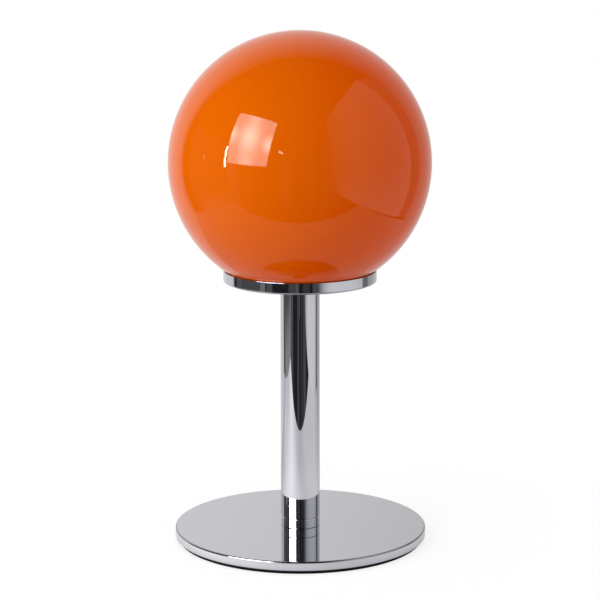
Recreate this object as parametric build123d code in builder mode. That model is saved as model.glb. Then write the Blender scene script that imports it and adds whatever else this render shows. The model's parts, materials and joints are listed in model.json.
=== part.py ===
from build123d import *

import os
from math import sqrt

# Table lamp: a closed glass globe seated in a shallow polished dish, on a tube stem and a round foot.
# Millimetres. The origin is the centre of the rest face, +Z is up, -Y is the front.
# The mains cord enters through a bush at the back of the stem, at +Y.

# Fits, all radial unless the name says otherwise
spigot_fit = 0.03            # turned spigots in the stem tube
thread_fit = 0.05            # screws in tapped holes; a thread is a plain cylinder at its outside size
moulding_fit = 0.1           # the lampholder's mouldings, one in another
hole_play = 0.4              # screws, rivets and washers in plain holes
glass_gap = 0.35             # glass beside metal, and the bulb beside its holder
contact_gap = 0.3            # a spring strip and what it presses on, measured along the stem

# Foot
base_radius = 97.5
base_thickness = 7.0
base_top_round = 1.0
base_bottom_bevel = 0.5
pad_thickness = 3.0
pad_inset = 3.0
bolt_radius = 4.0
bolt_length = 18.0
bolt_head_radius = 6.5
bolt_head_height = 5.0
bolt_socket_flats = 5.0
bolt_socket_depth = 2.4
bolt_washer_radius = 8.5
bolt_washer_thickness = 1.6
recess_depth = 4.5
pad_hole_margin = 2.0

# Stem
stem_radius = 15.15
stem_wall = 1.5
stem_length = 186.0
turned_edge_bevel = 0.4
collar_height = 7.3
collar_spigot_height = 8.0
plug_height = 12.0

# Cord entry
cord_radius = 3.0
cord_play = 0.2
bush_height = 16.0           # from the collar's top to the bush's axis
bush_barrel_radius = 4.6
bush_flange_radius = 6.2
bush_flange_thickness = 1.8
bush_flange_bevel = 0.7
bush_lip_radius = 5.3
bush_lip_thickness = 1.2
bush_end_gap = 0.3           # from the bush's inner end to the lead, along the cord
lead_bend_radius = 9.0
core_radius = 1.05
core_spread = 1.5            # from the stem's axis to each core where the sheath ends
core_bend_radius = 1.4

# Nipple and its nut
nipple_radius = 5.0
nipple_bore_radius = 4.0
nipple_in_plug = 10.0
nipple_in_boss = 7.0
nut_flats = 14.0
nut_height = 4.0
nut_edge_bevel = 0.5
lock_washer_radius = 8.6
lock_washer_thickness = 0.8
lock_tooth_count = 10
lock_tooth_gap = 1.4
lock_tooth_depth = 1.5

# Dish, seal and springs
dish_sheet = 1.0
dish_height = 8.8
dish_corner_round = 1.6
dish_lip_bevel = 0.3
seal_thickness = 3.0
seal_width = 6.6
seal_inset = 0.6             # the seal's bore outside the globe's opening
spring_count = 3
spring_first_angle = 90.0
spring_width = 9.0
spring_sheet = 0.5
spring_foot_length = 15.0
spring_arm_height = 8.0      # from the dish's floor to where the arm curls in
spring_curl_height = 9.0
spring_curl_reach = 5.0
spring_foot_bend = 1.6
spring_curl_bend = 5.0
rivet_radius = 1.5
rivet_head_radius = 2.7
rivet_head_height = 1.1
rivet_setback = 4.5          # from the foot's inner end to the rivet
rivet_tail_height = 0.9

# Globe
globe_radius = 100.0
glass_wall = 3.0
opening_radius = 43.5
ground_edge_bevel = 0.4

# Lampholder for the E27 screw cap
boss_radius = 8.5
boss_height = 9.0
holder_radius = 20.0
holder_mouth_radius = 17.2
holder_cap_height = 22.0
holder_wall = 2.2
shoulder_height = 6.0        # rise of the cap from its boss to its full width
shoulder_round = 5.0
spigot_radius = 17.6
spigot_height = 7.0
skirt_depth = 25.0           # from the mouth to the insert
skirt_band_height = 14.0     # straight part, below the taper
skirt_mouth_bevel = 0.8
grub_screw_radius = 1.5
grub_screw_height = 4.0      # above the boss's foot
sheath_end_height = 1.0      # above the cap's inner floor
core_straight = 2.0          # each core, before it turns outwards and before its terminal
insert_flange_thickness = 4.0
insert_body_height = 10.0
insert_body_play = 0.2
terminal_offset = 9.0
terminal_size = 6.0
terminal_height = 8.0
terminal_hole_depth = 4.5
terminal_screw_height = 2.4  # above the block's foot
terminal_slot_width = 0.6
terminal_slot_depth = 0.5
terminal_screw_radius = 1.5
terminal_head_radius = 2.3
terminal_head_height = 1.4
terminal_play = 0.2
contact_sheet = 0.5
contact_width = 5.0
contact_lift = 0.2           # under the strips, above the insert's face
contact_bend_radius = 0.8
centre_contact_rise = 1.0
centre_contact_overrun = 2.5
side_contact_inset = 0.55    # from the side tongue to the wall of the bore

# Bulb
thread_crest_radius = 13.2
thread_root_radius = 12.1
shell_collar_radius = 12.8
thread_pitch = 3.629
thread_turns = 4
shell_inner_radius = 11.5
shell_start = 4.4            # from the tip's underside to the shell's lower edge
shell_height = 21.6
tip_radius = 4.8
tip_height = 1.2
tip_bevel = 0.6
insulator_neck_radius = 6.4
insulator_height = 6.0
housing_neck_depth = 6.0
housing_shoulder_radius = 14.4
housing_radius = 28.0
housing_height = 34.0
housing_wall = 1.8
housing_flare = 1.6          # how far the cone's side bows in
rim_band_height = 8.0        # straight part, above the cone
board_thickness = 1.6
board_depth = 3.0            # from the housing's rim to the board's face
board_play = 0.2
ledge_width = 2.5
ledge_height = 2.0
chip_count = 10
chip_circle_radius = 16.0
chip_size = 3.0
chip_height = 0.8
driver_thickness = 1.6
driver_foot = 1.0            # above the neck's lower end
driver_height = 28.0
diffuser_wall = 1.2
bulb_length = 105.0          # from the tip to the crown

# Heights, worked out from the rest face up
base_bottom = pad_thickness
base_top = base_bottom + base_thickness
collar_top = base_top + collar_height
stem_top = collar_top + stem_length
dish_floor = stem_top + dish_sheet
dish_top = stem_top + dish_height
rim_height = dish_floor + seal_thickness
bush_axis_height = collar_top + bush_height
nut_bottom = dish_floor + lock_washer_thickness
holder_bottom = nut_bottom + nut_height
holder_shoulder = holder_bottom + holder_cap_height
spigot_top = holder_shoulder + spigot_height
insert_top = spigot_top + insert_flange_thickness
holder_mouth = insert_top + skirt_depth
strip_height = insert_top + contact_lift + contact_sheet / 2
bulb_bottom = strip_height + centre_contact_rise + contact_sheet / 2 + contact_gap
shell_bottom = bulb_bottom + shell_start
shell_top = shell_bottom + shell_height
housing_top = shell_top + housing_height
board_top = housing_top - board_depth
bulb_top = bulb_bottom + bulb_length

# Radii that follow from the pieces that meet there
stem_bore_radius = stem_radius - stem_wall
recess_radius = bolt_washer_radius + hole_play
nipple_hole_radius = nipple_radius + thread_fit
globe_inner_radius = globe_radius - glass_wall
globe_centre = rim_height + sqrt(globe_inner_radius**2 - opening_radius**2)
dish_inner_radius = sqrt(globe_radius**2 - (globe_centre - dish_top) ** 2) + glass_gap
dish_radius = dish_inner_radius + dish_sheet
seal_inner_radius = opening_radius + seal_inset
spring_face_radius = sqrt((opening_radius - glass_gap) ** 2 - (spring_width / 2) ** 2)
skirt_bore_radius = thread_crest_radius + glass_gap
cap_inner_radius = spigot_radius - holder_wall
insert_body_radius = cap_inner_radius - insert_body_play

os.makedirs("parts", exist_ok=True)

# Foot -----------------------------------------------------------------------------------------

with BuildPart() as base_pad:
    with BuildSketch():
        Circle(base_radius - pad_inset)
        Circle(recess_radius + pad_hole_margin, mode=Mode.SUBTRACT)
    extrude(amount=pad_thickness)
base_pad.part.label = "base_pad"
export_step(base_pad.part, "parts/base_pad.step")

with BuildPart() as base_plate:
    with BuildSketch(Plane.XY.offset(base_bottom)):
        Circle(base_radius)
    extrude(amount=base_thickness)
    fillet(base_plate.edges().group_by(Axis.Z)[-1], radius=base_top_round)
    chamfer(base_plate.edges().group_by(Axis.Z)[0], length=base_bottom_bevel)
    with Locations(Plane.XY.offset(base_bottom).rotated((180, 0, 0))):
        CounterBoreHole(bolt_radius + hole_play, recess_radius, recess_depth)
base_plate.part.label = "base_plate"
export_step(base_plate.part, "parts/base_plate.step")

washer_top = base_bottom + recess_depth
washer_bottom = washer_top - bolt_washer_thickness

with BuildPart() as base_washer:
    with BuildSketch(Plane.XY.offset(washer_bottom)):
        Circle(bolt_washer_radius)
        Circle(bolt_radius + hole_play, mode=Mode.SUBTRACT)
    extrude(amount=bolt_washer_thickness)
base_washer.part.label = "base_washer"
export_step(base_washer.part, "parts/base_washer.step")

with BuildPart() as base_bolt:
    with BuildSketch(Plane.XY.offset(washer_bottom)):
        Circle(bolt_radius)
    extrude(amount=bolt_length)
    chamfer(base_bolt.edges().group_by(Axis.Z)[-1], length=turned_edge_bevel)
    with BuildSketch(Plane.XY.offset(washer_bottom)):
        Circle(bolt_head_radius)
    extrude(amount=-bolt_head_height)
    chamfer(base_bolt.edges().group_by(Axis.Z)[0], length=turned_edge_bevel)
    with BuildSketch(Plane.XY.offset(washer_bottom - bolt_head_height)):
        RegularPolygon(bolt_socket_flats / 2, side_count=6, major_radius=False)
    extrude(amount=bolt_socket_depth, mode=Mode.SUBTRACT)
base_bolt.part.label = "base_bolt"
export_step(base_bolt.part, "parts/base_bolt.step")

with BuildPart() as foot_collar:
    with BuildSketch(Plane.XY.offset(base_top)):
        Circle(stem_radius)
    extrude(amount=collar_height)
    chamfer(foot_collar.edges().filter_by(GeomType.CIRCLE), length=turned_edge_bevel)
    with BuildSketch(Plane.XY.offset(collar_top)):
        Circle(stem_bore_radius - spigot_fit)
    extrude(amount=collar_spigot_height)
    chamfer(foot_collar.edges().group_by(Axis.Z)[-1], length=turned_edge_bevel)
    with Locations((0, 0, collar_top + collar_spigot_height)):
        Hole(bolt_radius + thread_fit)
foot_collar.part.label = "foot_collar"
export_step(foot_collar.part, "parts/foot_collar.step")

# Stem -----------------------------------------------------------------------------------------

with BuildPart() as stem_tube:
    with BuildSketch(Plane.XY.offset(collar_top)):
        Circle(stem_radius)
    extrude(amount=stem_length)
    chamfer(stem_tube.edges().group_by(Axis.Z)[0], length=turned_edge_bevel)
    with BuildSketch(Plane.XY.offset(collar_top)):
        Circle(stem_bore_radius)
    extrude(amount=stem_length, mode=Mode.SUBTRACT)
    with BuildSketch(Plane.XZ):
        with Locations((0, bush_axis_height)):
            Circle(bush_barrel_radius + thread_fit)
    extrude(amount=-stem_radius, mode=Mode.SUBTRACT)
stem_tube.part.label = "stem_tube"
export_step(stem_tube.part, "parts/stem_tube.step")

bush_outer_end = stem_radius + bush_flange_thickness
bush_inner_end = sqrt(stem_bore_radius**2 - bush_lip_radius**2) - bush_lip_thickness

with BuildPart() as cord_gland:
    with BuildSketch(Plane.XZ.offset(-bush_outer_end)):
        with Locations((0, bush_axis_height)):
            Circle(bush_flange_radius)
    extrude(amount=bush_outer_end - stem_bore_radius)
    chamfer(cord_gland.edges().group_by(Axis.Y)[-1], length=bush_flange_bevel)
    with BuildSketch(Plane.XZ.offset(-bush_inner_end)):
        with Locations((0, bush_axis_height)):
            Circle(bush_lip_radius)
    extrude(amount=bush_inner_end - stem_bore_radius)
    with BuildSketch(Plane.XY.offset(bush_axis_height - bush_flange_radius)):
        Circle(stem_radius + spigot_fit)
        Circle(stem_bore_radius - spigot_fit, mode=Mode.SUBTRACT)
    extrude(amount=2 * bush_flange_radius, mode=Mode.SUBTRACT)
    with BuildSketch(Plane.XZ.offset(-bush_inner_end)):
        with Locations((0, bush_axis_height)):
            Circle(bush_barrel_radius)
    extrude(amount=bush_inner_end - stem_radius - bush_flange_thickness / 2)
    with BuildSketch(Plane.XZ):
        with Locations((0, bush_axis_height)):
            Circle(cord_radius + cord_play)
    extrude(amount=-bush_outer_end, mode=Mode.SUBTRACT)
cord_gland.part.label = "cord_gland"
export_step(cord_gland.part, "parts/cord_gland.step")

with BuildPart() as stem_top_plug:
    with BuildSketch(Plane.XY.offset(stem_top)):
        Circle(stem_bore_radius - spigot_fit)
        Circle(nipple_hole_radius, mode=Mode.SUBTRACT)
    extrude(amount=-plug_height)
    lower_edges = stem_top_plug.edges().group_by(Axis.Z)[0]
    chamfer(lower_edges.sort_by(SortBy.RADIUS)[-1], length=turned_edge_bevel)
stem_top_plug.part.label = "stem_top_plug"
export_step(stem_top_plug.part, "parts/stem_top_plug.step")

nipple_bottom = stem_top - nipple_in_plug
nipple_top = holder_bottom + nipple_in_boss

with BuildPart() as threaded_nipple:
    with BuildSketch(Plane.XY.offset(nipple_bottom)):
        Circle(nipple_radius)
    extrude(amount=nipple_top - nipple_bottom)
    chamfer(threaded_nipple.edges().filter_by(GeomType.CIRCLE), length=turned_edge_bevel)
    with Locations((0, 0, nipple_top)):
        Hole(nipple_bore_radius)
threaded_nipple.part.label = "threaded_nipple"
export_step(threaded_nipple.part, "parts/threaded_nipple.step")

# Dish and what is fixed in it -----------------------------------------------------------------

spring_arm_radius = spring_face_radius - spring_sheet / 2
spring_foot_start = spring_arm_radius - spring_foot_length
rivet_circle_radius = spring_foot_start + rivet_setback
spring_angles = [spring_first_angle + 360 * index / spring_count for index in range(spring_count)]

with BuildPart() as gallery_dish:
    with BuildSketch(Plane.XY.offset(stem_top)):
        Circle(dish_radius)
    extrude(amount=dish_height)
    offset(amount=-dish_sheet, openings=gallery_dish.faces().sort_by(Axis.Z)[-1])
    fillet(gallery_dish.edges().group_by(Axis.Z)[0], radius=dish_corner_round)
    chamfer(gallery_dish.edges().group_by(Axis.Z)[-1], length=dish_lip_bevel)
    with BuildSketch(Plane.XY.offset(stem_top)):
        Circle(nipple_radius + hole_play)
        with PolarLocations(rivet_circle_radius, spring_count, spring_first_angle):
            Circle(rivet_radius + moulding_fit)
    extrude(amount=dish_sheet, mode=Mode.SUBTRACT)
gallery_dish.part.label = "gallery_dish"
export_step(gallery_dish.part, "parts/gallery_dish.step")

with BuildPart() as lock_washer:
    with BuildSketch(Plane.XY.offset(dish_floor)):
        Circle(lock_washer_radius)
        Circle(nipple_radius + hole_play, mode=Mode.SUBTRACT)
        with PolarLocations(lock_washer_radius, lock_tooth_count):
            Rectangle(2 * lock_tooth_depth, lock_tooth_gap, mode=Mode.SUBTRACT)
    extrude(amount=lock_washer_thickness)
lock_washer.part.label = "lock_washer"
export_step(lock_washer.part, "parts/lock_washer.step")

with BuildPart() as nipple_nut:
    with BuildSketch(Plane.XY.offset(nut_bottom)):
        RegularPolygon(nut_flats / 2, side_count=6, major_radius=False)
        Circle(nipple_hole_radius, mode=Mode.SUBTRACT)
    extrude(amount=nut_height)
    chamfer(nipple_nut.edges().filter_by(GeomType.CIRCLE), length=nut_edge_bevel)
nipple_nut.part.label = "nipple_nut"
export_step(nipple_nut.part, "parts/nipple_nut.step")

for number, angle in enumerate(spring_angles, start=1):
    with BuildPart() as globe_spring:
        with BuildSketch(Plane.XZ.rotated((0, 0, angle))):
            with BuildLine():
                FilletPolyline(
                    (spring_foot_start, dish_floor + spring_sheet / 2),
                    (spring_arm_radius, dish_floor + spring_sheet / 2),
                    (spring_arm_radius, dish_floor + spring_arm_height),
                    (
                        spring_arm_radius - spring_curl_reach,
                        dish_floor + spring_arm_height + spring_curl_height,
                    ),
                    radius=[spring_foot_bend, spring_curl_bend],
                )
            trace(line_width=spring_sheet)
        extrude(amount=spring_width / 2, both=True)
        with BuildSketch(Plane.XY.offset(dish_floor)):
            with PolarLocations(rivet_circle_radius, 1, angle):
                Circle(rivet_radius + moulding_fit)
        extrude(amount=spring_sheet, mode=Mode.SUBTRACT)
    globe_spring.part.label = f"globe_spring_{number}"
    export_step(globe_spring.part, f"parts/globe_spring_{number}.step")

rivet_head_bottom = dish_floor + spring_sheet

with BuildPart() as spring_rivets:
    with BuildSketch(Plane.XY.offset(rivet_head_bottom)):
        with PolarLocations(rivet_circle_radius, spring_count, spring_first_angle):
            Circle(rivet_head_radius)
    extrude(amount=rivet_head_height)
    with BuildSketch(Plane.XY.offset(stem_top)):
        with PolarLocations(rivet_circle_radius, spring_count, spring_first_angle):
            Circle(rivet_radius)
    extrude(amount=rivet_head_bottom - stem_top)
    with BuildSketch(Plane.XY.offset(stem_top)):
        with PolarLocations(rivet_circle_radius, spring_count, spring_first_angle):
            Circle(rivet_head_radius)
    extrude(amount=-rivet_tail_height)
spring_rivets.part.label = "spring_rivets"
export_step(spring_rivets.part, "parts/spring_rivets.step")

with BuildPart() as globe_seal:
    with BuildSketch(Plane.XY.offset(dish_floor)):
        Circle(seal_inner_radius + seal_width)
        Circle(seal_inner_radius, mode=Mode.SUBTRACT)
    extrude(amount=seal_thickness)
globe_seal.part.label = "globe_seal"
export_step(globe_seal.part, "parts/globe_seal.step")

# Globe ----------------------------------------------------------------------------------------

with BuildPart() as glass_globe:
    with BuildSketch(Plane.XZ):
        with Locations((0, globe_centre)):
            Circle(globe_radius)
            Circle(globe_inner_radius, mode=Mode.SUBTRACT)
        with Locations((0, rim_height)):
            Rectangle(
                globe_radius,
                2 * globe_radius,
                align=(Align.MIN, Align.MIN),
                mode=Mode.INTERSECT,
            )
    revolve(axis=Axis.Z)
    chamfer(glass_globe.edges().group_by(Axis.Z)[0], length=ground_edge_bevel)
glass_globe.part.label = "glass_globe"
export_step(glass_globe.part, "parts/glass_globe.step")

# Lampholder -----------------------------------------------------------------------------------

boss_top = holder_bottom + boss_height
cap_slope = shoulder_height / (holder_radius - boss_radius)
cap_inner_floor = boss_top + holder_wall * sqrt(1 + cap_slope**2)
cap_inner_shoulder = cap_inner_floor + cap_slope * (cap_inner_radius - boss_radius)
grub_screw_axis = holder_bottom + grub_screw_height

with BuildPart() as holder_cap:
    with BuildSketch(Plane.XZ) as holder_cap_section:
        with BuildLine():
            Polyline(
                (nipple_hole_radius, holder_bottom),
                (boss_radius, holder_bottom),
                (boss_radius, boss_top),
                (holder_radius, boss_top + shoulder_height),
                (holder_radius, holder_shoulder),
                (spigot_radius, holder_shoulder),
                (spigot_radius, spigot_top),
                (cap_inner_radius, spigot_top),
                (cap_inner_radius, cap_inner_shoulder),
                (boss_radius, cap_inner_floor),
                (nipple_hole_radius, cap_inner_floor),
                close=True,
            )
        make_face()
        fillet(
            holder_cap_section.vertices().group_by(Axis.X)[-1].sort_by(Axis.Y)[0],
            radius=shoulder_round,
        )
    revolve(axis=Axis.Z)
    with BuildSketch(Plane.YZ):
        with Locations((0, grub_screw_axis)):
            Circle(grub_screw_radius + thread_fit)
    extrude(amount=boss_radius, mode=Mode.SUBTRACT)
holder_cap.part.label = "holder_cap"
export_step(holder_cap.part, "parts/holder_cap.step")

with BuildPart() as nipple_grub_screw:
    with BuildSketch(Plane.YZ.offset(nipple_hole_radius)):
        with Locations((0, grub_screw_axis)):
            Circle(grub_screw_radius)
    extrude(amount=boss_radius - nipple_hole_radius)
nipple_grub_screw.part.label = "nipple_grub_screw"
export_step(nipple_grub_screw.part, "parts/nipple_grub_screw.step")

skirt_spigot_bore = spigot_radius + moulding_fit

with BuildPart() as holder_skirt:
    with BuildSketch(Plane.XZ) as holder_skirt_section:
        with BuildLine():
            Polyline(
                (skirt_spigot_bore, holder_shoulder),
                (holder_radius, holder_shoulder),
                (holder_radius, holder_shoulder + skirt_band_height),
                (holder_mouth_radius, holder_mouth),
                (skirt_bore_radius, holder_mouth),
                (skirt_bore_radius, insert_top),
                (skirt_spigot_bore, insert_top),
                close=True,
            )
        make_face()
        chamfer(holder_skirt_section.vertices().group_by(Axis.Y)[-1], length=skirt_mouth_bevel)
    revolve(axis=Axis.Z)
holder_skirt.part.label = "holder_skirt"
export_step(holder_skirt.part, "parts/holder_skirt.step")

pocket_inner_wall = terminal_offset - terminal_size / 2 - terminal_play
pocket_length = holder_radius - pocket_inner_wall
pocket_middle = pocket_inner_wall + pocket_length / 2
pocket_width = terminal_size + 2 * terminal_play

with BuildPart() as holder_insert:
    with BuildSketch(Plane.XY.offset(spigot_top)):
        Circle(insert_body_radius)
        with Locations((-pocket_middle, 0), (pocket_middle, 0)):
            Rectangle(pocket_length, pocket_width, mode=Mode.SUBTRACT)
    extrude(amount=-insert_body_height)
    with BuildSketch(Plane.XY.offset(spigot_top)):
        Circle(spigot_radius)
        with Locations((-terminal_offset, 0), (terminal_offset, 0)):
            Rectangle(
                contact_sheet + 2 * terminal_play,
                contact_width + 2 * terminal_play,
                mode=Mode.SUBTRACT,
            )
    extrude(amount=insert_flange_thickness)
holder_insert.part.label = "holder_insert"
export_step(holder_insert.part, "parts/holder_insert.step")

terminal_bottom = spigot_top - terminal_height
terminal_screw_axis = terminal_bottom + terminal_screw_height
terminal_face = terminal_offset + terminal_size / 2
screw_end = terminal_offset + core_radius + moulding_fit


def terminal_block(side):
    """A brass block under the insert: a core comes in from below, a screw from outside."""
    with BuildPart() as block:
        with BuildSketch(Plane.XY.offset(terminal_bottom)):
            with Locations((side * terminal_offset, 0)):
                Rectangle(terminal_size, terminal_size)
        extrude(amount=terminal_height)
        with BuildSketch(Plane.XY.offset(terminal_bottom)):
            with Locations((side * terminal_offset, 0)):
                Circle(core_radius + moulding_fit)
        extrude(amount=terminal_hole_depth, mode=Mode.SUBTRACT)
        with BuildSketch(Plane.YZ.offset(side * terminal_offset)):
            with Locations((0, terminal_screw_axis)):
                Circle(terminal_screw_radius + thread_fit)
        extrude(amount=side * terminal_size, mode=Mode.SUBTRACT)
    return block


live_terminal = terminal_block(-1)
live_terminal.part.label = "live_terminal"
export_step(live_terminal.part, "parts/live_terminal.step")

neutral_terminal = terminal_block(1)
neutral_terminal.part.label = "neutral_terminal"
export_step(neutral_terminal.part, "parts/neutral_terminal.step")

with BuildPart() as terminal_screws:
    for side in (-1, 1):
        with BuildSketch(Plane.YZ.offset(side * screw_end)):
            with Locations((0, terminal_screw_axis)):
                Circle(terminal_screw_radius)
        extrude(amount=side * (terminal_face - screw_end))
        with BuildSketch(Plane.YZ.offset(side * terminal_face)):
            with Locations((0, terminal_screw_axis)):
                Circle(terminal_head_radius)
        extrude(amount=side * terminal_head_height)
        with BuildSketch(Plane.YZ.offset(side * (terminal_face + terminal_head_height))):
            with Locations((0, terminal_screw_axis)):
                Rectangle(terminal_slot_width, 2 * terminal_head_radius)
        extrude(amount=-side * terminal_slot_depth, mode=Mode.SUBTRACT)
terminal_screws.part.label = "terminal_screws"
export_step(terminal_screws.part, "parts/terminal_screws.step")

with BuildPart() as centre_contact:
    with BuildSketch(Plane.XZ):
        with BuildLine():
            FilletPolyline(
                (-terminal_offset, spigot_top),
                (-terminal_offset, strip_height),
                (centre_contact_overrun, strip_height + centre_contact_rise),
                radius=contact_bend_radius,
            )
        trace(line_width=contact_sheet)
    extrude(amount=contact_width / 2, both=True)
centre_contact.part.label = "centre_contact"
export_step(centre_contact.part, "parts/centre_contact.step")

side_tongue_radius = skirt_bore_radius - side_contact_inset - contact_sheet / 2

with BuildPart() as side_contact:
    with BuildSketch(Plane.XZ):
        with BuildLine():
            FilletPolyline(
                (terminal_offset, spigot_top),
                (terminal_offset, strip_height),
                (side_tongue_radius, strip_height),
                (side_tongue_radius, shell_bottom - contact_gap),
                radius=contact_bend_radius,
            )
        trace(line_width=contact_sheet)
    extrude(amount=contact_width / 2, both=True)
side_contact.part.label = "side_contact"
export_step(side_contact.part, "parts/side_contact.step")

# Inner lead and its two cores -----------------------------------------------------------------

sheath_end = cap_inner_floor + sheath_end_height


def round_cable(route, bend_radius, radius):
    """A round cable along straight runs joined by arcs."""
    with BuildPart() as cable:
        with BuildLine() as path:
            FilletPolyline(*route, radius=bend_radius)
        with BuildSketch(Plane(origin=path.line @ 0, z_dir=path.line % 0)):
            Circle(radius)
        sweep()
    return cable


inner_lead = round_cable(
    [
        (0, bush_inner_end - bush_end_gap, bush_axis_height),
        (0, 0, bush_axis_height),
        (0, 0, sheath_end),
    ],
    lead_bend_radius,
    cord_radius,
)
inner_lead.part.label = "inner_lead"
export_step(inner_lead.part, "parts/inner_lead.step")


def core_wire(side):
    """An insulated core, from the sheath's end into the foot of its terminal."""
    return round_cable(
        [
            (side * core_spread, 0, sheath_end),
            (side * core_spread, 0, sheath_end + core_straight),
            (side * terminal_offset, 0, terminal_bottom - core_straight),
            (side * terminal_offset, 0, terminal_bottom + terminal_hole_depth),
        ],
        core_bend_radius,
        core_radius,
    )


live_wire = core_wire(-1)
live_wire.part.label = "live_wire"
export_step(live_wire.part, "parts/live_wire.step")

neutral_wire = core_wire(1)
neutral_wire.part.label = "neutral_wire"
export_step(neutral_wire.part, "parts/neutral_wire.step")

# Bulb -----------------------------------------------------------------------------------------

shell_fill_radius = shell_inner_radius - thread_fit

with BuildPart() as bulb_tip:
    with BuildSketch(Plane.XY.offset(bulb_bottom)):
        Circle(tip_radius)
    extrude(amount=tip_height)
    chamfer(bulb_tip.edges().group_by(Axis.Z)[0], length=tip_bevel)
bulb_tip.part.label = "bulb_tip"
export_step(bulb_tip.part, "parts/bulb_tip.step")

insulator_bottom = bulb_bottom + tip_height

with BuildPart() as bulb_insulator:
    with BuildSketch(Plane.XZ):
        with BuildLine():
            Polyline(
                (0, insulator_bottom),
                (insulator_neck_radius, insulator_bottom),
                (shell_fill_radius, shell_bottom),
                (shell_fill_radius, insulator_bottom + insulator_height),
                (0, insulator_bottom + insulator_height),
                close=True,
            )
        make_face()
    revolve(axis=Axis.Z)
bulb_insulator.part.label = "bulb_insulator"
export_step(bulb_insulator.part, "parts/bulb_insulator.step")

thread_outline = []
for turn in range(thread_turns):
    turn_start = shell_bottom + turn * thread_pitch
    thread_outline.append((thread_root_radius, turn_start))
    thread_outline.append((thread_crest_radius, turn_start + thread_pitch / 2))

thread_end = shell_bottom + thread_turns * thread_pitch

with BuildPart() as bulb_screw_cap:
    with BuildSketch(Plane.XZ):
        with BuildLine():
            Polyline(
                *thread_outline,
                (thread_root_radius, thread_end),
                (shell_collar_radius, thread_end + thread_pitch / 2),
                (shell_collar_radius, shell_top),
                (shell_inner_radius, shell_top),
                (shell_inner_radius, shell_bottom),
                close=True,
            )
        make_face()
    revolve(axis=Axis.Z)
bulb_screw_cap.part.label = "bulb_screw_cap"
export_step(bulb_screw_cap.part, "parts/bulb_screw_cap.step")

neck_bottom = shell_top - housing_neck_depth
neck_bore_radius = shell_fill_radius - housing_wall
rim_band_bottom = housing_top - rim_band_height
housing_inner_radius = housing_radius - housing_wall
board_bottom = board_top - board_thickness
ledge_bottom = board_bottom - ledge_height

with BuildPart() as bulb_housing:
    with BuildSketch(Plane.XZ):
        with BuildLine():
            Polyline(
                (housing_radius, rim_band_bottom),
                (housing_radius, housing_top),
                (housing_inner_radius, housing_top),
                (housing_inner_radius, board_bottom),
                (housing_inner_radius - ledge_width, board_bottom),
                (housing_inner_radius - ledge_width, ledge_bottom),
                (housing_inner_radius, ledge_bottom),
                (neck_bore_radius, shell_top),
                (neck_bore_radius, neck_bottom),
                (shell_fill_radius, neck_bottom),
                (shell_fill_radius, shell_top),
                (housing_shoulder_radius, shell_top),
            )
            SagittaArc(
                (housing_shoulder_radius, shell_top),
                (housing_radius, rim_band_bottom),
                housing_flare,
            )
        make_face()
    revolve(axis=Axis.Z)
bulb_housing.part.label = "bulb_housing"
export_step(bulb_housing.part, "parts/bulb_housing.step")

with BuildPart() as driver_board:
    with BuildSketch(Plane.XY.offset(neck_bottom + driver_foot)):
        Rectangle(2 * (neck_bore_radius - board_play), driver_thickness)
    extrude(amount=driver_height)
driver_board.part.label = "driver_board"
export_step(driver_board.part, "parts/driver_board.step")

with BuildPart() as led_board:
    with BuildSketch(Plane.XY.offset(board_top)):
        Circle(housing_inner_radius - board_play)
    extrude(amount=-board_thickness)
led_board.part.label = "led_board"
export_step(led_board.part, "parts/led_board.step")

with BuildPart() as led_chips:
    with BuildSketch(Plane.XY.offset(board_top)):
        with PolarLocations(chip_circle_radius, chip_count):
            Rectangle(chip_size, chip_size)
    extrude(amount=chip_height)
led_chips.part.label = "led_chips"
export_step(led_chips.part, "parts/led_chips.step")

# The dome is the part of a sphere that fits between the housing's rim and the bulb's crown.
diffuser_neck_radius = housing_inner_radius - board_play
diffuser_neck_bore = diffuser_neck_radius - diffuser_wall
dome_height = bulb_top - housing_top
dome_radius = (dome_height**2 + diffuser_neck_radius**2) / (2 * dome_height)
dome_centre = bulb_top - dome_radius
dome_inner_radius = dome_radius - diffuser_wall
dome_inner_foot = dome_centre - sqrt(dome_inner_radius**2 - diffuser_neck_bore**2)

with BuildPart() as bulb_diffuser:
    with BuildSketch(Plane.XZ):
        with BuildLine():
            ThreePointArc((0, bulb_top), (dome_radius, dome_centre), (diffuser_neck_radius, housing_top))
            Polyline(
                (diffuser_neck_radius, housing_top),
                (diffuser_neck_radius, board_top),
                (diffuser_neck_bore, board_top),
                (diffuser_neck_bore, dome_inner_foot),
            )
            ThreePointArc(
                (diffuser_neck_bore, dome_inner_foot),
                (dome_inner_radius, dome_centre),
                (0, bulb_top - diffuser_wall),
            )
            Line((0, bulb_top - diffuser_wall), (0, bulb_top))
        make_face()
    revolve(axis=Axis.Z)
bulb_diffuser.part.label = "bulb_diffuser"
export_step(bulb_diffuser.part, "parts/bulb_diffuser.step")
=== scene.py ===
import json
from math import acos, cos, pi, radians, sin

import bmesh
import bpy
from mathutils import Matrix, Vector


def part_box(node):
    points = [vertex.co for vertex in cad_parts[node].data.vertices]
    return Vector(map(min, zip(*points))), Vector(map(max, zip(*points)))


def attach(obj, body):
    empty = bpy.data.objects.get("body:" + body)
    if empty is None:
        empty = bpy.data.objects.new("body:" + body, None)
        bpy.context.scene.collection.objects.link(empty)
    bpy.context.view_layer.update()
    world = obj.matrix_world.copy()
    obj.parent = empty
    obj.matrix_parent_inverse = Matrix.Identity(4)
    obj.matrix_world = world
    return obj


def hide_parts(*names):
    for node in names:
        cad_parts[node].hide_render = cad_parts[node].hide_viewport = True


# A closed glass globe in a polished dish, on a tube stem and a round foot. Metres, +Z up, -Y the front.

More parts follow.
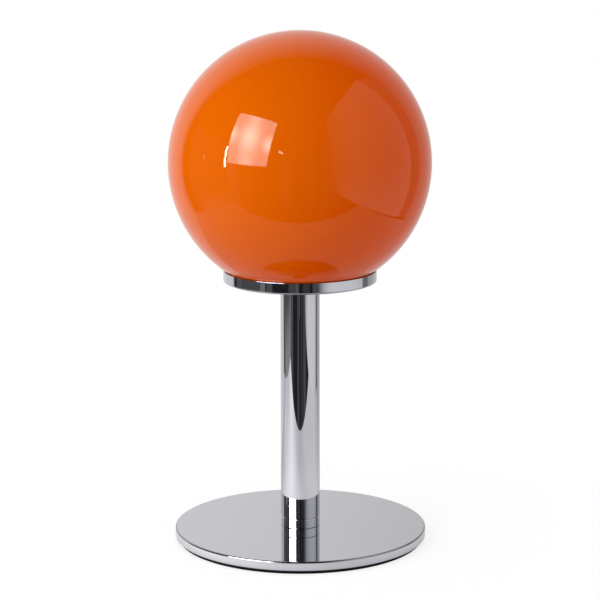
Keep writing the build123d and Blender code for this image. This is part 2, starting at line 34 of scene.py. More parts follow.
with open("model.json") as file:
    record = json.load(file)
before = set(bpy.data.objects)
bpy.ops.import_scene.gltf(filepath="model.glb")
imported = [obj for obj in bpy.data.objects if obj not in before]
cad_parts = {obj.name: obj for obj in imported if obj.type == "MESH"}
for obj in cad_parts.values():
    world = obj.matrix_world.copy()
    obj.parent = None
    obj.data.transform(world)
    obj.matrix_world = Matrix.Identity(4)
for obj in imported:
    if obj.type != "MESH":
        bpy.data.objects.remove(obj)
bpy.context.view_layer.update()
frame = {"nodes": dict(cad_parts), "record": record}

TURN = 2 * pi
MM = 0.001

FULL_TURN_STEPS = 256
ROUND_STEPS = 10
SHARP_ANGLE = radians(40)


# Shader maths ---------------------------------------------------------------------------------

class Signal:
    """A socket in a node tree. Its operators add Math nodes."""

    def __init__(self, nodes, socket):
        self.nodes = nodes
        self.socket = socket

    def math(self, operation, *operands):
        values = {index: operand for index, operand in enumerate(operands)}
        return self.nodes.add("ShaderNodeMath", {"operation": operation}, values)

    def other(self, name):
        """Another output of the node that this socket belongs to."""
        return Signal(self.nodes, self.socket.node.outputs[name])

    def root(self):
        return self.math("SQRT", self)

    def larger(self, value):
        return self.math("MAXIMUM", self, value)

    def magnitude(self):
        return self.math("ABSOLUTE", self)

    def __add__(self, value):
        return self.math("ADD", self, value)

    def __radd__(self, value):
        return self.math("ADD", value, self)

    def __sub__(self, value):
        return self.math("SUBTRACT", self, value)

    def __rsub__(self, value):
        return self.math("SUBTRACT", value, self)

    def __mul__(self, value):
        return self.math("MULTIPLY", self, value)

    def __rmul__(self, value):
        return self.math("MULTIPLY", value, self)

    def __gt__(self, value):
        return self.math("GREATER_THAN", self, value)

    def __lt__(self, value):
        return self.math("LESS_THAN", self, value)


# The Mix node names its colour sockets like its others, so they go by number
MIX_FACTOR, MIX_FIRST, MIX_SECOND, MIX_RESULT = 0, 6, 7, 2


class Nodes:
    """The nodes of one material, or of the world."""

    def __init__(self, owner):
        owner.use_nodes = True
        self.tree = owner.node_tree
        self.tree.nodes.clear()

    def add(self, kind, settings=None, sockets=None, output=0):
        """A node with its settings, then the values or links of its sockets."""
        node = self.tree.nodes.new(kind)
        for name, value in (settings or {}).items():
            setattr(node, name, value)
        for key, value in (sockets or {}).items():
            socket = node.inputs[key]
            if isinstance(value, Signal):
                self.tree.links.new(value.socket, socket)
            elif socket.type == "RGBA":
                socket.default_value = (*value, 1.0)
            else:
                socket.default_value = value
        return Signal(self, node.outputs[output]) if node.outputs else node

    def blend(self, factor, first, second):
        """A colour between two colours."""
        sockets = {MIX_FACTOR: factor, MIX_FIRST: first, MIX_SECOND: second}
        return self.add("ShaderNodeMix", {"data_type": "RGBA"}, sockets, MIX_RESULT)

    def vector_math(self, operation, sockets, output="Vector"):
        return self.add("ShaderNodeVectorMath", {"operation": operation}, sockets, output)

    def scaled(self, colour, level):
        """A colour made brighter or darker."""
        return self.vector_math("SCALE", {0: colour, "Scale": level})

    def place(self):
        """The point on the piece, in metres in the lamp's own frame."""
        return self.add("ShaderNodeTexCoord", output="Object")

    def distance(self, place, centre):
        return self.vector_math("DISTANCE", {0: place, 1: centre}, "Value")

    def from_axis(self, place):
        """How far a place is from the lamp's axis."""
        across, along, _ = self.parts(place)
        return (across * across + along * along).root()

    def along_line(self, place, start, direction):
        """How far a place is from start, measured along a direction."""
        moved = self.vector_math("SUBTRACT", {0: place, 1: start})
        return self.vector_math("DOT_PRODUCT", {0: moved, 1: direction}, "Value")

    def parts(self, vector):
        """The X, Y and Z of a vector."""
        across = self.add("ShaderNodeSeparateXYZ", None, {0: vector})
        return across, across.other("Y"), across.other("Z")

    def noise(self, place, size, detail, stretch=(1.0, 1.0, 1.0)):
        """Noise of about 0 to 1, whose grains are size across, longer where stretch is under 1."""
        stretched = self.add("ShaderNodeMapping", None, {"Vector": place, "Scale": stretch})
        sockets = {"Vector": stretched, "Scale": 1 / size, "Detail": detail}
        return self.add("ShaderNodeTexNoise", None, sockets)

    def span(self, value, low, high, new_low=0.0, new_high=1.0):
        """value moved from low..high to new_low..new_high, with a smooth start and end."""
        sockets = {0: value, 1: low, 2: high, 3: new_low, 4: new_high}
        return self.add("ShaderNodeMapRange", {"interpolation_type": "SMOOTHSTEP"}, sockets)

    def bump(self, height, depth, strength):
        sockets = {"Height": height, "Distance": depth, "Strength": strength}
        return self.add("ShaderNodeBump", None, sockets)

    def glow(self, colour, strength=1.0):
        return self.add("ShaderNodeEmission", None, {"Color": colour, "Strength": strength})

    def mixed(self, factor, first, second):
        """A shader between two shaders."""
        return self.add("ShaderNodeMixShader", None, {0: factor, 1: first, 2: second})

    def surface(self, shader):
        self.add("ShaderNodeOutputMaterial", None, {"Surface": shader})

    def finish(self, sockets):
        """The surface of a real piece, from the sockets of the Principled shader."""
        self.surface(self.add("ShaderNodeBsdfPrincipled", None, sockets))


def finish_nodes(name):
    """A new material and its nodes."""
    material = bpy.data.materials.new(name)
    return material, Nodes(material)


# Finishes -------------------------------------------------------------------------------------

CHROME = (0.565, 0.578, 0.635)
CHROME_HAZE = (0.52, 0.535, 0.59)
# The darker chrome below is painted shade for the foot's rounded top edge.
PAINTED_DARK_EDGE_CHROME = (0.34, 0.33, 0.35)
CHROME_ROUGHNESS = 0.014
LINE_ROUGHNESS = 0.024
EDGE_ROUGHNESS = 0.06
EDGE_BLUR = 0.2 * MM


def polished_chrome(name, line_stretch, line_size=0.6 * MM, painted_dark_edge=None):
    """Bright chrome plate over polished steel, with the faint lines that the buffing wheel leaves.

    The last argument gives the distance from the axis and the height past which the rounded edge is
    rougher and painted a darker chrome: painted shade that dims its highlight and darkens the line it
    reflects.
    """
    material, nodes = finish_nodes(name)
    place = nodes.place()
    lines = nodes.noise(place, line_size, 3.0, line_stretch)
    cloud = nodes.noise(place, 18 * MM, 3.0)
    colour = nodes.blend(cloud * 0.5 + lines * 0.2, CHROME, CHROME_HAZE)
    roughness = CHROME_ROUGHNESS + lines * LINE_ROUGHNESS
    if painted_dark_edge:
        edge_radius, edge_height = painted_dark_edge
        _, _, up = nodes.parts(place)
        outer = nodes.span(nodes.from_axis(place), edge_radius, edge_radius + EDGE_BLUR)
        edge = outer * nodes.span(up, edge_height, edge_height + EDGE_BLUR)
        # Painted shade: the rounded edge gets a darker chrome, so it reflects a darker line and a dimmer
        # highlight.
        colour = nodes.blend(edge, colour, PAINTED_DARK_EDGE_CHROME)
        roughness = roughness + edge * EDGE_ROUGHNESS
    sockets = {
        "Base Color": colour,
        "Metallic": 1.0,
        "Roughness": roughness,
        "Normal": nodes.bump(lines, 0.002 * MM, 0.5),
    }
    nodes.finish(sockets)
    return material


ORANGE = (0.85, 0.145, 0.0)
# The next orange is painted shade: the glass's orange where it faces away from the main light.
SHADED_ORANGE = (0.83, 0.088, 0.0)
SPECK_BROWN = (0.25, 0.03, 0.0)
OPAL_WHITE = (0.78, 0.76, 0.70)
CASING = 0.8 * MM
# The direction of the main light. The glass's orange is painted paler towards it and deeper away from it,
# as painted shade.
MAIN_LIGHT_SIDE = Vector((-0.69, -0.655, 0.30)).normalized()


def orange_glass(name, centre, radius):
    """Orange glass over an opal white lining. The orange is painted deeper and darker away from the main
    light, as painted shade.
    """
    material, nodes = finish_nodes(name)
    place = nodes.place()
    swirl = nodes.noise(place, 60 * MM, 2.0)
    # Painted shade: the orange deepens and darkens away from the main light, with a noisy border.
    toward_main_light = nodes.along_line(place, centre, MAIN_LIGHT_SIDE) + (swirl - 0.5) * (20 * MM)
    orange = nodes.blend(nodes.span(toward_main_light, -0.1 * radius, 1.2 * radius), SHADED_ORANGE, ORANGE)
    seeds = nodes.noise(place, 1.5 * MM, 1.0)
    specked = nodes.blend(nodes.span(seeds, 0.86, 0.90) * 0.6, orange, SPECK_BROWN)
    outside = nodes.span(nodes.distance(place, centre), radius - 1.6 * CASING, radius - CASING)
    waves = nodes.noise(place, 45 * MM, 1.0)
    sockets = {
        "Base Color": nodes.blend(outside, OPAL_WHITE, specked),
        "Roughness": 0.02 + seeds * 0.02,
        "IOR": 1.5,
        "Specular IOR Level": 0.36,
        "Specular Tint": (1.0, 0.96, 0.74),
        "Normal": nodes.bump(waves, 0.12 * MM, 0.4),
    }
    nodes.finish(sockets)
    return material


def moulded(name, colour, roughness, grain=0.4 * MM, depth=0.01 * MM, shine=0.5):
    """A moulded or coated surface: an even colour with a fine grain and faint clouding."""
    material, nodes = finish_nodes(name)
    place = nodes.place()
    grains = nodes.noise(place, grain, 3.0)
    cloud = nodes.noise(place, 9 * MM, 3.0)
    darker = tuple(0.82 * part for part in colour)
    sockets = {
        "Base Color": nodes.blend(cloud * 0.7 + grains * 0.3, colour, darker),
        "Roughness": roughness - 0.06 + grains * 0.12,
        "Specular IOR Level": shine,
        "Normal": nodes.bump(grains, depth, 0.6),
    }
    nodes.finish(sockets)
    return material


def bare_metal(name, colour, roughness, line_stretch=(1.0, 1.0, 1.0)):
    """A plain metal with the lines of its rolling or turning."""
    material, nodes = finish_nodes(name)
    place = nodes.place()
    lines = nodes.noise(place, 0.25 * MM, 3.0, line_stretch)
    stains = nodes.noise(place, 4 * MM, 3.0)
    duller = tuple(0.78 * part for part in colour)
    sockets = {
        "Base Color": nodes.blend(stains, colour, duller),
        "Metallic": 1.0,
        "Roughness": roughness - 0.07 + lines * 0.14,
        "Normal": nodes.bump(lines, 0.004 * MM, 0.5),
    }
    nodes.finish(sockets)
    return material


FLAT_LINES = (1.0, 1.0, 0.05)

slot_finishes = {
    "black_rubber": moulded("black_rubber", (0.006, 0.006, 0.0065), 0.8, 0.5 * MM, 0.03 * MM, 0.12),
    "zinc_steel": bare_metal("zinc_steel", (0.62, 0.63, 0.65), 0.35),
    "spring_steel": bare_metal("spring_steel", (0.52, 0.53, 0.55), 0.28, FLAT_LINES),
    "rivet_aluminium": bare_metal("rivet_aluminium", (0.78, 0.78, 0.79), 0.38),
    "clear_silicone": moulded("clear_silicone", (0.62, 0.61, 0.58), 0.42),
    "black_moulding": moulded("black_moulding", (0.016, 0.016, 0.017), 0.34, 0.35 * MM, 0.006 * MM),
    "cable_sheath": moulded("cable_sheath", (0.02, 0.02, 0.021), 0.45),
    "brown_core": moulded("brown_core", (0.09, 0.035, 0.014), 0.4),
    "blue_core": moulded("blue_core", (0.02, 0.09, 0.32), 0.4),
    "steatite": moulded("steatite", (0.74, 0.71, 0.63), 0.5, 0.3 * MM, 0.02 * MM),
    "brass": bare_metal("brass", (0.74, 0.55, 0.26), 0.3),
    "black_glass": moulded("black_glass", (0.01, 0.01, 0.012), 0.12),
    "nickel_shell": bare_metal("nickel_shell", (0.66, 0.63, 0.58), 0.26, FLAT_LINES),
    "white_moulding": moulded("white_moulding", (0.76, 0.76, 0.75), 0.4),
    "green_board": moulded("green_board", (0.03, 0.17, 0.07), 0.35),
    "white_board": moulded("white_board", (0.74, 0.74, 0.73), 0.35),
    "phosphor": moulded("phosphor", (0.78, 0.62, 0.12), 0.5),
    "opal_diffuser": moulded("opal_diffuser", (0.80, 0.80, 0.78), 0.38, 0.6 * MM, 0.004 * MM),
}


# Mesh helpers ---------------------------------------------------------------------------------

def round_off(mesh, verts, radius, segments=ROUND_STEPS):
    """Rounds an outline at these corners."""
    bmesh.ops.bevel(
        mesh,
        geom=verts,
        offset=radius,
        offset_type="OFFSET",
        segments=segments,
        profile=0.5,
        affect="VERTICES",
        material=-1,
    )


def corners(mesh, points, rounds):
    """A closed outline in the XZ plane, where rounds gives the radius of each rounded corner."""
    verts = [mesh.verts.new((radius, 0.0, height)) for radius, height in points]
    for first, second in zip(verts, verts[1:] + verts[:1]):
        mesh.edges.new((first, second))
    for index, radius in rounds.items():
        round_off(mesh, [verts[index]], radius)


def spin_round(mesh):
    """Turns an outline round the lamp's axis into a closed shell."""
    bmesh.ops.spin(
        mesh,
        geom=mesh.verts[:] + mesh.edges[:],
        cent=(0.0, 0.0, 0.0),
        axis=(0.0, 0.0, 1.0),
        angle=TURN,
        steps=FULL_TURN_STEPS,
        use_merge=True,
        use_duplicate=False,
    )
    bmesh.ops.remove_doubles(mesh, verts=mesh.verts, dist=0.0005 * MM)
    bmesh.ops.recalc_face_normals(mesh, faces=mesh.faces)


def object_of(name, mesh):
    """A new object in the scene that holds the mesh."""
    data = bpy.data.meshes.new(name)
    mesh.to_mesh(data)
    mesh.free()
    piece = bpy.data.objects.new(name, data)
    bpy.context.scene.collection.objects.link(piece)
    return piece


def piece_of(name, mesh, body, slot, finish, *nodes):
    """The mesh as a smooth-shaded piece that rides on a body and stands for CAD nodes."""
    piece = object_of(name, mesh)
    piece.data.shade_smooth()
    piece.data.set_sharp_from_angle(angle=SHARP_ANGLE)
    piece.data.materials.append(finish)
    smoothing = piece.modifiers.new("flat_faces_lead", "WEIGHTED_NORMAL")
    smoothing.keep_sharp = True
    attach(piece, body)
    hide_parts(*nodes)
    return piece


def turned(name, points, rounds, body, slot, finish, *nodes):
    """A piece turned on the lamp's axis from its outline."""
    mesh = bmesh.new()
    corners(mesh, points, rounds)
    spin_round(mesh)
    piece_of(name, mesh, body, slot, finish, *nodes)


def outer_sizes(node):
    """Outer radius, lowest and highest height of a round CAD node."""
    low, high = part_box(node)
    return high.x, low.z, high.z


# Foot -----------------------------------------------------------------------------------------

plate_radius, plate_bottom, plate_top = outer_sizes("base_plate")
bolt_hole_radius = 4.4 * MM
washer_recess_radius = 8.9 * MM
washer_recess_depth = 4.5 * MM
plate_edge_round = 1.3 * MM
plate_foot_round = 0.5 * MM
# The foot's rounded top edge is rougher and painted a darker chrome, as painted shade.
foot_chrome = polished_chrome(
    "foot_chrome", (1.0, 1.0, 1.0), 3 * MM, (plate_radius - plate_edge_round, plate_top - plate_edge_round)
)

turned(
    "foot_disc",
    [
        (bolt_hole_radius, plate_bottom + washer_recess_depth),
        (washer_recess_radius, plate_bottom + washer_recess_depth),
        (washer_recess_radius, plate_bottom),
        (plate_radius, plate_bottom),
        (plate_radius, plate_top),
        (bolt_hole_radius, plate_top),
    ],
    {3: plate_foot_round, 4: plate_edge_round},
    "stand",
    "polished_chrome",
    foot_chrome,
    "base_plate",
)

tube_radius, collar_bottom, spigot_end = outer_sizes("foot_collar")
_, tube_bottom, tube_top = outer_sizes("stem_tube")
tube_wall = 1.5 * MM
tube_bore = tube_radius - tube_wall
collar_bore = 4.05 * MM
turned_edge = 0.6 * MM
tube_chrome = polished_chrome("stem_chrome", (1.0, 1.0, 0.01))

turned(
    "foot_ring",
    [
        (collar_bore, collar_bottom),
        (tube_radius, collar_bottom),
        (tube_radius, tube_bottom),
        (tube_bore, tube_bottom),
        (tube_bore, spigot_end),
        (collar_bore, spigot_end),
    ],
    {1: turned_edge, 2: turned_edge, 4: turned_edge},
    "stand",
    "polished_chrome",
    tube_chrome,
    "foot_collar",
)


# Stem -----------------------------------------------------------------------------------------

def round_bar(name, centre, radius, length):
    """A round bar along Y, to cut a hole with."""
    mesh = bmesh.new()
    ends = bmesh.ops.create_cone(
        mesh, cap_ends=True, segments=64, radius1=radius, radius2=radius, depth=length
    )
    bmesh.ops.rotate(mesh, verts=ends["verts"], matrix=Matrix.Rotation(pi / 2, 3, "X"))
    bmesh.ops.translate(mesh, verts=ends["verts"], vec=centre)
    return object_of(name, mesh)


def cut(piece, cutter):
    """Cuts the cutter's shape out of the piece's own mesh."""
    boolean = piece.modifiers.new("cut", "BOOLEAN")
    boolean.object = cutter
    boolean.solver = "EXACT"
    smoothing = piece.modifiers["flat_faces_lead"]
    smoothing.show_viewport = False
    evaluated = piece.evaluated_get(bpy.context.evaluated_depsgraph_get())
    piece.data = bpy.data.meshes.new_from_object(evaluated)
    piece.data.set_sharp_from_angle(angle=SHARP_ANGLE)
    piece.modifiers.remove(boolean)
    smoothing.show_viewport = True
    bpy.data.objects.remove(cutter)


def stem():
    """The tube, with the round hole for the cord's bush at its back."""
    bush_low, bush_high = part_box("cord_gland")
    bush_height = (bush_low.z + bush_high.z) / 2
    hole_radius = 4.65 * MM
    mesh = bmesh.new()
    corners(
        mesh,
        [
            (tube_bore, tube_bottom),
            (tube_radius, tube_bottom),
            (tube_radius, bush_height - 2 * hole_radius),
            (tube_radius, bush_height + 2 * hole_radius),
            (tube_radius, tube_top),
            (tube_bore, tube_top),
        ],
        {1: turned_edge},
    )
    spin_round(mesh)
    tube = piece_of("stem_tube_polished", mesh, "stand", "polished_chrome", tube_chrome, "stem_tube")
    back = Vector((0.0, tube_radius, bush_height))
    cut(tube, round_bar("bush_hole", back, hole_radius, tube_radius))


stem()


# Dish -----------------------------------------------------------------------------------------

dish_radius, dish_bottom, dish_top = outer_sizes("gallery_dish")
dish_sheet = 1.0 * MM
dish_corner_round = 1.6 * MM
dish_lip_round = 0.3 * MM
nipple_hole_radius = 5.4 * MM

turned(
    "globe_dish",
    [
        (nipple_hole_radius, dish_bottom),
        (dish_radius, dish_bottom),
        (dish_radius, dish_top),
        (dish_radius - dish_sheet, dish_top),
        (dish_radius - dish_sheet, dish_bottom + dish_sheet),
        (nipple_hole_radius, dish_bottom + dish_sheet),
    ],
    {1: dish_corner_round, 2: dish_lip_round, 3: dish_lip_round, 4: dish_corner_round - dish_sheet},
    "stand",
    "polished_chrome",
    polished_chrome("dish_chrome", (1.0, 1.0, 0.3), 2 * MM),
    "gallery_dish",
)


# Globe ----------------------------------------------------------------------------------------

def globe():
    """The blown globe: two spheres cut off at the ground mouth."""
    radius, mouth_height, top = outer_sizes("glass_globe")
    wall = 3.0 * MM
    mouth_round = 0.4 * MM
    outer_steps = 120
    inner_steps = 60
    centre = Vector((0.0, 0.0, top - radius))
    mesh = bmesh.new()
    ends = []
    for sphere_radius, steps in ((radius, outer_steps), (radius - wall, inner_steps)):
        pole = mesh.verts.new(centre + Vector((0.0, 0.0, sphere_radius)))
        sweep_angle = acos((mouth_height - centre.z) / sphere_radius)
        arc = bmesh.ops.spin(
            mesh, geom=[pole], cent=centre, axis=(0.0, 1.0, 0.0), angle=sweep_angle, steps=steps
        )
        ends.append(arc["geom_last"][0])
    mesh.edges.new(ends)
    round_off(mesh, ends, mouth_round, segments=2)
    spin_round(mesh)
    glass = orange_glass("orange_glass", centre, radius)
    piece_of("orange_globe", mesh, "globe", "orange_glass", glass, "glass_globe")


globe()


# CAD nodes that show as they are --------------------------------------------------------------

slot_of = {part["node"]: part["material_slot"] for part in frame["record"]["subparts"]}
for node_name, node in frame["nodes"].items():
    finish = slot_finishes.get(slot_of.get(node_name))
    if finish:
        for material_slot in node.material_slots:
            material_slot.material = finish


# Studio ---------------------------------------------------------------------------------------

WHITE = (1.0, 1.0, 1.0)
CARD_WHITE = (1.0, 0.975, 0.955)
COOL_WHITE = (1.0, 0.99, 1.12)
SOFT_GREY = (0.60, 0.60, 0.60)
ROOM_GREY = (0.022, 0.022, 0.022)
MAIN_LIGHT_AZIMUTH = -46.5

UP = Vector((0.0, 0.0, 1.0))
LAMP_FOOT = Vector((0.0, 0.0, 0.0))


def outward(azimuth):
    """The level direction out from the lamp at an azimuth in degrees: 0 is the front and 90 the right."""
    angle = radians(azimuth)
    return Vector((sin(angle), -cos(angle), 0.0))


def rightward(azimuth):
    """The level direction a quarter turn on from outward: the right, for azimuth 0."""
    return outward(azimuth + 90)


def card_finish(name, strength, shade=None, tint=CARD_WHITE):
    """A card that shines evenly, or by shade, a function of the nodes that returns a signal."""
    material, nodes = finish_nodes(name)
    colour = nodes.scaled(tint, shade(nodes)) if shade else tint
    nodes.surface(nodes.glow(colour, strength))
    return material


def stage_piece(name, mesh, material, in_camera=False):
    """A piece of the studio. Cards are seen only in reflections."""
    piece = object_of(name, mesh)
    piece.data.materials.append(material)
    if not in_camera:
        piece.visible_camera = False
        piece.visible_diffuse = False
        piece.visible_shadow = False


def card(name, corner_points, finish):
    """A flat card between its corners."""
    mesh = bmesh.new()
    bmesh.ops.contextual_create(mesh, geom=[mesh.verts.new(point) for point in corner_points])
    stage_piece(name, mesh, finish)


table_left = -0.56
table_right = 0.478
table_front = -0.356
table_front_slope = 0.05
lamp_shade_start = 0.095
lamp_shade_end = 0.118


def table_level(nodes, place):
    """How bright the table is in reflections.

    Seen at a low angle it is glossy, most of all to the left front. The lamp's foot shades it.
    """
    steep_level = 0.56
    gleam_azimuth = -52
    across, along, _ = nodes.parts(place)
    away = nodes.from_axis(place)
    beside = nodes.along_line(place, LAMP_FOOT, rightward(gleam_azimuth)).magnitude()
    ahead = nodes.along_line(place, LAMP_FOOT, outward(gleam_azimuth))
    gleam = nodes.span(beside, 0.0, 0.19, 0.45, 0.0) * nodes.span(ahead, 0.0, 0.12)
    left_place = Vector((-0.33, 0.0, 0.0))
    left_gleam = nodes.span(nodes.distance(place, left_place), 0.0, 0.20, 0.15, 0.0)
    sides = nodes.span(across.magnitude(), 0.02, 0.16, 0.74, 0.88)
    fading_back = nodes.span(along, 0.0, 0.14, 1.0, 0.78)
    near = nodes.span(away, 0.15, 0.32, 0.08, 0.0)
    glossy_level = sides * fading_back + near + gleam + left_gleam
    facing = nodes.add("ShaderNodeLayerWeight", None, {"Blend": 0.5}, "Facing")
    low_angle = nodes.span(facing, 0.56, 0.70)
    lamp_shade = nodes.span(away, lamp_shade_start, lamp_shade_end, 0.70, 1.0)
    return (steep_level + low_angle * (glossy_level - steep_level)) * lamp_shade


SHADOW_GREY = (0.3, 0.3, 0.3)
SHADOW_GLOW = 0.77
SHADOW_START = 0.11
SHADOW_END = 0.30


def floor():
    """A pale floor that takes the lamp's shadow. Reflections show it only as far as the table goes."""
    material, nodes = finish_nodes("pale_floor")
    place = nodes.place()
    rays = nodes.add("ShaderNodeLightPath")

    across, along, _ = nodes.parts(place)
    lean = across.larger(0.0) * table_front_slope
    on_table = (across > table_left) * (across < table_right) * (along + lean > table_front)
    glossy_colour = nodes.scaled(CARD_WHITE, table_level(nodes, place))
    colour = nodes.blend(rays.other("Is Diffuse Ray"), glossy_colour, SOFT_GREY)
    unseen = nodes.add("ShaderNodeBsdfTransparent")
    reflected = nodes.mixed(on_table, unseen, nodes.glow(colour))

    lit = nodes.add("ShaderNodeBsdfDiffuse", None, {"Color": SHADOW_GREY})
    shaded = nodes.add("ShaderNodeAddShader", None, {0: lit, 1: nodes.glow(WHITE, SHADOW_GLOW)})
    past_shadow = nodes.span(nodes.from_axis(place), SHADOW_START, SHADOW_END)
    direct = nodes.mixed(past_shadow, shaded, nodes.glow(WHITE))

    nodes.surface(nodes.mixed(rays, reflected, direct))
    mesh = bmesh.new()
    bmesh.ops.create_grid(mesh, x_segments=1, y_segments=1, size=6.0)
    stage_piece("floor", mesh, material, in_camera=True)


sheet_left_y = 0.183
sheet_right_y = 0.232
sheet_right = 0.53
sheet_height = 1.20
sheet_arch = 0.62
sheet_corner_start = 0.38
sheet_corner_arch = 6.0
sheet_cove = 0.05
sheet_cove_height = 0.3


def backdrop():
    """The white sheet behind the lamp. Its foot curves up from the table, and its arched top is dimmer."""
    def shade(nodes):
        across, _, up = nodes.parts(nodes.place())
        sideways = nodes.span(across, -0.15, 0.50, 0.905, 0.45)
        left_edge = nodes.span(across, table_left, -0.44, 0.30, 1.0)
        top = nodes.span(up + across * across * sheet_arch, 0.55, 1.22, 1.0, 0.25)
        return sideways * left_edge * top

    mesh = bmesh.new()
    bmesh.ops.create_grid(mesh, x_segments=48, y_segments=16, size=0.5)
    for vert in mesh.verts:
        right, rise = vert.co.x + 0.5, vert.co.y + 0.5
        x = table_left + right * (sheet_right - table_left)
        past_corner = max(0.0, x - sheet_corner_start)
        z = rise * (sheet_height - sheet_arch * x * x - sheet_corner_arch * past_corner * past_corner)
        cove = sheet_cove * sin(pi / 2 * min(1.0, z / sheet_cove_height))
        vert.co = (x, sheet_left_y + right * (sheet_right_y - sheet_left_y) + cove, z)
    stage_piece("backdrop", mesh, card_finish("backdrop_white", 1.0, shade))


def right_board():
    """A tall board at the right, dimmer to its front, and a dark gap between it and the sheet behind."""
    board_x = 0.515
    board_back = 0.112
    gap_back = 0.27
    foot_back = -0.008
    top_back = 1.04

    def shade(nodes):
        _, along, up = nodes.parts(nodes.place())
        tall = nodes.span(along, -1.07, -0.35, 0.26, 0.70)
        low = nodes.span(along, -1.20, -0.42, 0.02, 0.95) * nodes.span(along, -0.10, 0.12, 1.0, 0.8)
        rise = nodes.span(up, 0.03, 0.35)
        return low + (tall - low) * rise

    def upright_card(name, outline, finish):
        card(name, [(board_x, along, up) for along, up in outline], finish)

    front = [(-1.0, 1.27), (-1.08, 0.95), (-1.03, -0.03), (-0.40, -0.02)]
    back = [(board_back, foot_back), (board_back, top_back)]
    gap = [(gap_back, foot_back), (gap_back, 0.9), (board_back, top_back), (board_back, foot_back)]
    upright_card("right_board", front + back, card_finish("board_white", 1.0, shade))
    upright_card("board_gap", gap, card_finish("gap_grey", 0.22))


def softbox():
    """The main light at the left, leaning over the table, brightest at its middle and its four sides."""
    out = outward(MAIN_LIGHT_AZIMUTH)
    side = rightward(MAIN_LIGHT_AZIMUTH)
    foot_distance, foot_height = 1.72, 0.41
    head_distance, head_height = 1.33, 1.48
    foot = out * foot_distance + UP * foot_height
    head = out * head_distance + UP * head_height
    centre = (foot + head) / 2
    rise = (head - foot).normalized()
    half_height = (head - foot).length / 2
    half_width = 0.52
    even_level = 6.8

    def shade(nodes):
        place = nodes.place()

        def spot(sideways, upward, reach, level):
            middle = centre + side * sideways * half_width + rise * upward * half_height
            return nodes.span(nodes.distance(place, middle), 0.0, reach, level, 0.0)

        lamp = spot(0.0, 0.1, 0.42, 7.0) + spot(0.0, 0.4, 0.42, 5.0) + spot(0.0, -0.3, 0.42, 5.0)
        ends = spot(0.0, -1.0, 0.34, 6.0) + spot(0.0, 1.0, 0.30, 5.0)
        sides = spot(-1.0, 0.1, 0.30, 11.0) + spot(1.05, -0.05, 0.30, 11.0)
        return even_level + lamp + ends + sides

    points = [foot - side * 0.51, foot + side * 0.59, head + side * 0.585, head - side * 0.51]
    card("softbox", points, card_finish("softbox_white", 1.0, shade, COOL_WHITE))


def upright(name, azimuth, distance, width, low, high, level, drop=0.0):
    """A narrow upright card, facing the lamp, whose right side may be lower by drop."""
    left = outward(azimuth) * distance - rightward(azimuth) * width / 2
    right = outward(azimuth) * distance + rightward(azimuth) * width / 2
    points = [left + UP * low, right + UP * (low - drop), right + UP * (high - drop), left + UP * high]
    card(name, points, card_finish(name + "_glow", level))


# Azimuth, width and level of what stands far off in the dark room
FAR_WALLS = [
    (-88.0, 2.3, 0.13),
    (-59.0, 0.65, 0.25),
    (-46.0, 0.5, 0.11),
    (-11.0, 0.6, 0.09),
    (9.0, 0.5, 0.06),
    (26.0, 0.8, 0.10),
]
FAR_WALL_DISTANCE = 3.0


def uprights():
    """The thin lights and the far walls that show in the chrome and the glass."""
    upright("tall_strip", -64.8, 1.2, 0.040, 0.303, 0.619, 44.0)
    upright("small_spot", -16.1, 1.6, 0.09, 0.742, 0.770, 28.0, 0.028)
    upright("ring_spot", -4.0, 3.0, 0.20, -0.44, -0.30, 0.14)
    upright("faint_spot", -88.0, 1.5, 0.012, 0.36, 0.43, 7.0)
    for number, (azimuth, width, level) in enumerate(FAR_WALLS):
        upright(f"far_wall_{number}", azimuth, FAR_WALL_DISTANCE, width, -1.5, 1.3, level)


def left_shelf():
    """What lies beyond the table's left edge, and darkens away from it."""
    shelf_left = -1.2
    shelf_z = -0.002

    def shade(nodes):
        across, _, _ = nodes.parts(nodes.place())
        return nodes.span(across, -1.05, -0.58, 0.10, 0.38)

    outline = [(table_left, -0.33), (table_left, 0.05), (shelf_left, 0.11), (shelf_left, -0.70)]
    points = [(across, along, shelf_z) for across, along in outline]
    card("left_shelf", points, card_finish("shelf_grey", 1.0, shade))


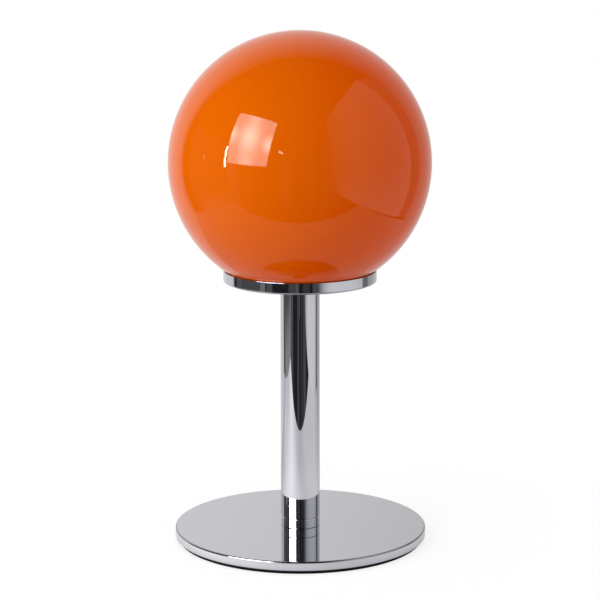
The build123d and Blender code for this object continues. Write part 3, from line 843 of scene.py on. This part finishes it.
def lamps():
    """The soft light that falls on the lamp. Reflections show the cards instead."""
    aim_height = 0.2

    def area(name, azimuth, distance, height, size, power):
        light = bpy.data.lights.new(name, "AREA")
        light.shape = "SQUARE"
        light.size = size
        light.energy = power
        lamp = bpy.data.objects.new(name, light)
        lamp.location = outward(azimuth) * distance + UP * height
        aim = UP * aim_height - lamp.location
        lamp.rotation_euler = aim.to_track_quat("-Z", "Y").to_euler()
        lamp.visible_camera = False
        lamp.visible_glossy = False
        bpy.context.scene.collection.objects.link(lamp)

    area("key", MAIN_LIGHT_AZIMUTH, 1.55, 0.95, 1.1, 9.6)
    area("left_bounce", -82.0, 1.1, 0.06, 0.9, 2.7)
    area("right_bounce", 112.0, 1.1, 0.3, 0.9, 1.0)
    area("over", 160.0, 0.9, 1.5, 1.2, 1.2)


def room():
    """White behind the lamp for the camera, a dark room in reflections, and soft light elsewhere."""
    world = bpy.data.worlds.new("studio")
    bpy.context.scene.world = world
    nodes = Nodes(world)
    rays = nodes.add("ShaderNodeLightPath")
    glossy = rays.other("Is Glossy Ray").larger(rays.other("Is Transmission Ray"))
    colour = nodes.blend(rays, nodes.blend(glossy, SOFT_GREY, ROOM_GREY), WHITE)
    background = nodes.add("ShaderNodeBackground", None, {"Color": colour, "Strength": 1.0})
    nodes.add("ShaderNodeOutputWorld", None, {"Surface": background})


camera_distance = 1.6602
camera_height = 0.5169
camera_tilt = 11.2
camera_roll = 0.09
camera_turn = -0.016


def camera():
    """The photograph's view: from the front, a little above the globe."""
    lens = bpy.data.cameras.new("camera")
    lens.lens = 132.5
    lens.sensor_width = 36.0
    view = bpy.data.objects.new("camera", lens)
    view.location = (0.0, -camera_distance, camera_height)
    view.rotation_euler = (radians(90 - camera_tilt), radians(camera_roll), radians(camera_turn))
    bpy.context.scene.collection.objects.link(view)
    bpy.context.scene.camera = view
    bpy.context.scene.view_settings.view_transform = "Standard"


floor()
backdrop()
right_board()
softbox()
left_shelf()
uprights()
lamps()
room()
camera()
